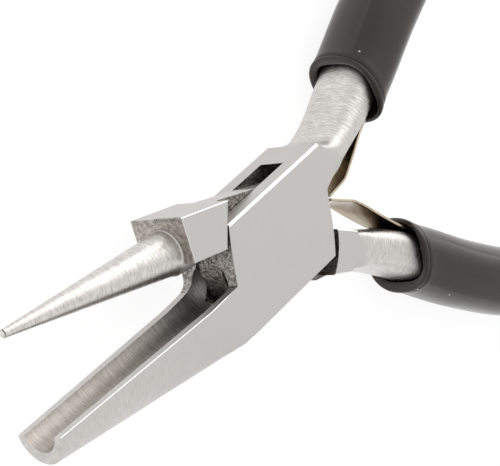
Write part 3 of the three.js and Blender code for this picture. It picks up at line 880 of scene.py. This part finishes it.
def tooth_comb():
    """The cutter of a row of small dark notches along the top of the block's end, which the CAD
    leaves out. Their walls take the dark slot steel, partly a painted shade in the notches."""
    pitch, depth, teeth, start = 0.3, 0.8, 15, -0.55
    rings = []
    for x, sink in ((15.2, depth), (14.2, -0.05)):
        ring = [(x, -10.2, start), (x, -10.2, start + pitch * teeth)]
        for i in range(2 * teeth, -1, -1):
            y = -9.55 - (x - 14.85) * 0.13 + (sink if i % 2 else -0.12)
            ring.append((x, y, start + pitch * i / 2))
        rings.append(ring)
    return loft("comb", rings, SLOT, STEELS)


def tongue_half():
    body = block()
    tongue = plate("tongue", tongue_outline(), -TONGUE_HALF, TONGUE_HALF, SLOT, STEELS)
    for face in tongue.data.polygons:
        if face.normal.y < -0.9 and face.center.x > 0:
            face.material_index = STEEL
    join_up(body, tongue)
    join_up(body, round_jaw())
    root = plate("root", root_outline(), -HALF, HALF, STEEL, STEELS, chamfer=ROOT_CHAMFER)
    join_up(root, shank(1))
    cut(root, cylinder("shoulder", SHOULDER_RADIUS, -6, 6, SLOT, STEELS, steps=180))
    join_up(body, root)
    cut(body, cylinder("hole", PIN_HOLE, -5, 5, SLOT, STEELS))
    finish_mesh(body)
    write_finish(body, 1)
    return body


def pivot_pin():
    pin = cylinder("pivot_pin_fine", PIN_RADIUS, -HALF, HALF, STEEL, STEELS)
    finish_mesh(pin)
    write_finish(pin, -1)
    return pin


# ---------------------------------------------------------------- leaf springs


def leaf_line(side):
    """The leaf's line from its tip to its end under the sleeve, the place where it leaves its
    shank, and the bend near its tip."""
    handle = handle_line(side)

    def on_shank(distance):
        half_in, _, _, shift = shank_section(side, distance)
        lift = half_in - shift + LEAF_SEAT_GAP + LEAF_HALF_THICKNESS
        ahead = handle.ahead(distance)
        out = np.array([-ahead[1], ahead[0]]) * -side
        return handle.point(distance) - out * lift

    bend = np.array(LEAF_BEND[side])
    tip = np.array(LEAF_MEETING) + np.array([0, side * (LEAF_TIP_GAP / 2 + LEAF_HALF_THICKNESS)])
    seat = on_shank(LEAF_LEAVES_SHANK)
    middle = (bend + seat) / 2 + np.array([0, side * LEAF_SAG[side]])
    points = [tip, tip + (bend - tip) * 0.45, tip + (bend - tip) * 0.88,
              bend + (seat - bend) * 0.08, middle, seat]
    points += [on_shank(distance) for distance in LEAF_SEAT_STATIONS]
    return Line(points), seat, bend


def leaf_spring(name, side):
    line, seat, bend = leaf_line(side)
    rings = []
    for share in np.linspace(0, 1, 140):
        middle, ahead = line.point(share * line.length), line.ahead(share * line.length)
        up = np.array([-ahead[1], ahead[0]])
        half = along(LEAF_HALF_WIDTH[side], share)
        ring = []
        for i in range(32):
            z, u = super_point(2 * math.pi * i / 32, half, LEAF_HALF_THICKNESS, 9)
            ring.append((*(middle + up * u), z))
        rings.append(ring)
    leaf = loft(name, rings, 0, [spring_steel(name + "_steel"), spring_edge(name + "_edge")])
    for face in leaf.data.polygons:
        face.material_index = 1 if abs(face.normal.z) > 0.6 else 0
    finish_mesh(leaf, 50)
    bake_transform(leaf)
    return leaf


# ---------------------------------------------------------------- grips


def bore_section(side, distance):
    half_in, half_z, _, shift = shank_section(side, distance)
    room = along(LEAF_ROOM, distance)
    return (half_in + GRIP_GAP + room / 2, half_z + GRIP_GAP, BORE_POWER, shift - room / 2)


def outside_section(distance, proud=-GRIP_INSIDE):
    return (along(GRIP_HALF_WIDTH, distance) + proud, along(GRIP_HALF_DEPTH, distance) + proud,
            GRIP_POWER, GRIP_SHIFT)


def between(a, b, share):
    return tuple(p + (q - p) * share for p, q in zip(a, b))


def grip(name, side):
    line = handle_line(side, beyond=True)

    def ring(distance, section):
        lean = max(0.0, 1 - (distance - GRIP_START) / GRIP_LEAN_FADES)
        return handle_ring(line, side, distance, section, lean * GRIP_SLANT, lean * GRIP_TILT)

    rings = [ring(d, bore_section(side, d)) for d in np.arange(BORE_END, 17, -1.0)]
    mouth = bore_section(side, GRIP_START)
    lip = outside_section(GRIP_START, LIP_PROUD)
    body = outside_section(GRIP_START)
    rings.append(ring(GRIP_START + 0.6, bore_section(side, GRIP_START + 0.6)))
    roll = [(0.30, 0.04), (0.12, 0.16), (0.03, 0.32), (0.0, 0.5), (0.03, 0.7), (0.12, 0.87),
            (0.28, 0.97), (0.5, 1.0)]
    rings += [ring(GRIP_START + step, between(mouth, lip, share)) for step, share in roll]
    beads = [(0.62, 0.95), (0.74, 0.5), (0.84, -0.2), (0.94, -0.5), (1.06, -0.1), (1.2, 0.3),
             (1.45, 0.35), (1.9, 0.2), (2.6, 0.0)]
    rings += [ring(GRIP_START + step, between(body, lip, share)) for step, share in beads]
    for distance in np.arange(21, GRIP_END - GRIP_ROUND + 0.1, 1.5):
        skin = ring(distance, outside_section(distance))
        place, height = MOULD_LINE[side]
        skin[place] = ring(distance, outside_section(distance, height - GRIP_INSIDE))[place]
        rings.append(skin)
    start = GRIP_END - GRIP_ROUND - GRIP_INSIDE
    half_in, half_z, power, shift = outside_section(start)
    for turn in np.linspace(8, 86, 12):
        angle = math.radians(turn)
        section = (half_in * math.cos(angle), half_z * math.cos(angle), power, shift)
        rings.append(ring(start + GRIP_ROUND * math.sin(angle), section))
    obj = loft(name, rings, 0, [vinyl(name + "_vinyl")])
    finish_mesh(obj, 60)
    return obj


# ---------------------------------------------------------------- the object

pieces = (
    ("box_half", box_half(), "box_side", "satin_steel"),
    ("tongue_half", tongue_half(), "tongue_side", "satin_steel"),
    ("pivot_pin", pivot_pin(), "box_side", "pin_steel"),
    ("box_grip", grip("box_grip_fine", -1), "box_side", "dark_vinyl"),
    ("tongue_grip", grip("tongue_grip_fine", 1), "tongue_side", "dark_vinyl"),
)
for node, piece, body, slot in pieces:
    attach(piece, body)
    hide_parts(node)

for name, side, body in (("box", -1, "box_side"), ("tongue", 1, "tongue_side")):
    leaf = leaf_spring(name + "_leaf_fine", side)
    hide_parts(name + "_leaf_spring")
    rivet = frame["nodes"][name + "_leaf_rivet"]
    rivet.data.materials.clear()
    rivet.data.materials.append(edge_steel(name + "_rivet_steel"))

# ---------------------------------------------------------------- floor, light and camera


def floor():
    low = CAD_BOX[0][2] - 0.0002
    size = 1.2
    work = bmesh.new()
    bmesh.ops.create_grid(work, x_segments=2, y_segments=2, size=size)
    mesh = bpy.data.meshes.new("floor")
    work.to_mesh(mesh)
    work.free()
    obj = bpy.data.objects.new("floor", mesh)
    obj.location = (0, 0, low)
    bpy.context.scene.collection.objects.link(obj)
    n = Nodes("pale_floor")
    mesh.materials.append(n.surface(Base_Color=(0.16, 0.16, 0.16), Roughness=0.9,
                                    Emission_Color=(1.0, 1.0, 1.0), Emission_Strength=0.88))


def world():
    """Soft white surroundings, brighter on one side."""
    surroundings = bpy.data.worlds.new("studio")
    bpy.context.scene.world = surroundings
    surroundings.use_nodes = True
    tree = surroundings.node_tree
    tree.nodes.clear()
    place = tree.nodes.new("ShaderNodeTexCoord")
    dot = tree.nodes.new("ShaderNodeVectorMath")
    dot.operation = "DOT_PRODUCT"
    dot.inputs[1].default_value = Vector((-0.75, -0.55, 0.35)).normalized()
    tree.links.new(place.outputs["Generated"], dot.inputs[0])
    ramp = tree.nodes.new("ShaderNodeValToRGB")
    stops = ((0.0, 0.5), (0.35, 0.85), (0.55, 1.08), (0.78, 0.92), (0.84, 0.96), (0.90, 1.2),
             (0.94, 1.8), (1.0, 2.5))
    ramp.color_ramp.elements[0].position = stops[0][0]
    ramp.color_ramp.elements[0].color = (stops[0][1],) * 3 + (1,)
    ramp.color_ramp.elements[1].position = stops[-1][0]
    ramp.color_ramp.elements[1].color = (stops[-1][1],) * 3 + (1,)
    for position, level in stops[1:-1]:
        element = ramp.color_ramp.elements.new(position)
        element.color = (level, level, level, 1)
    spread = tree.nodes.new("ShaderNodeMapRange")
    spread.inputs["From Min"].default_value = -1
    spread.inputs["From Max"].default_value = 1
    tree.links.new(dot.outputs["Value"], spread.inputs["Value"])
    tree.links.new(spread.outputs["Result"], ramp.inputs["Fac"])
    light = tree.nodes.new("ShaderNodeBackground")
    light.inputs["Strength"].default_value = 1.0
    tree.links.new(ramp.outputs["Color"], light.inputs["Color"])
    out = tree.nodes.new("ShaderNodeOutputWorld")
    tree.links.new(light.outputs["Background"], out.inputs["Surface"])


def camera():
    """Long lens, looking down over the front face from the jaws' side, rolled nearly upright."""
    azimuth, elevation, roll = math.radians(-20.935), math.radians(44.568), math.radians(-86.855)
    distance = 0.223368
    aim = Vector((0.000935, -0.001887, MID_PLANE * MM))
    toward = Vector((math.cos(elevation) * math.cos(azimuth),
                     math.cos(elevation) * math.sin(azimuth), math.sin(elevation)))
    data = bpy.data.cameras.new("camera")
    data.sensor_width = 36
    data.lens = 129.75
    obj = bpy.data.objects.new("camera", data)
    bpy.context.scene.collection.objects.link(obj)
    upright = toward.to_track_quat("Z", "Y").to_matrix().to_4x4()
    obj.matrix_world = Matrix.Translation(aim + toward * distance) @ upright @ Matrix.Rotation(
        -roll, 4, "Z")
    bpy.context.scene.camera = obj


floor()
world()
camera()
bpy.context.scene.view_settings.view_transform = "Standard"
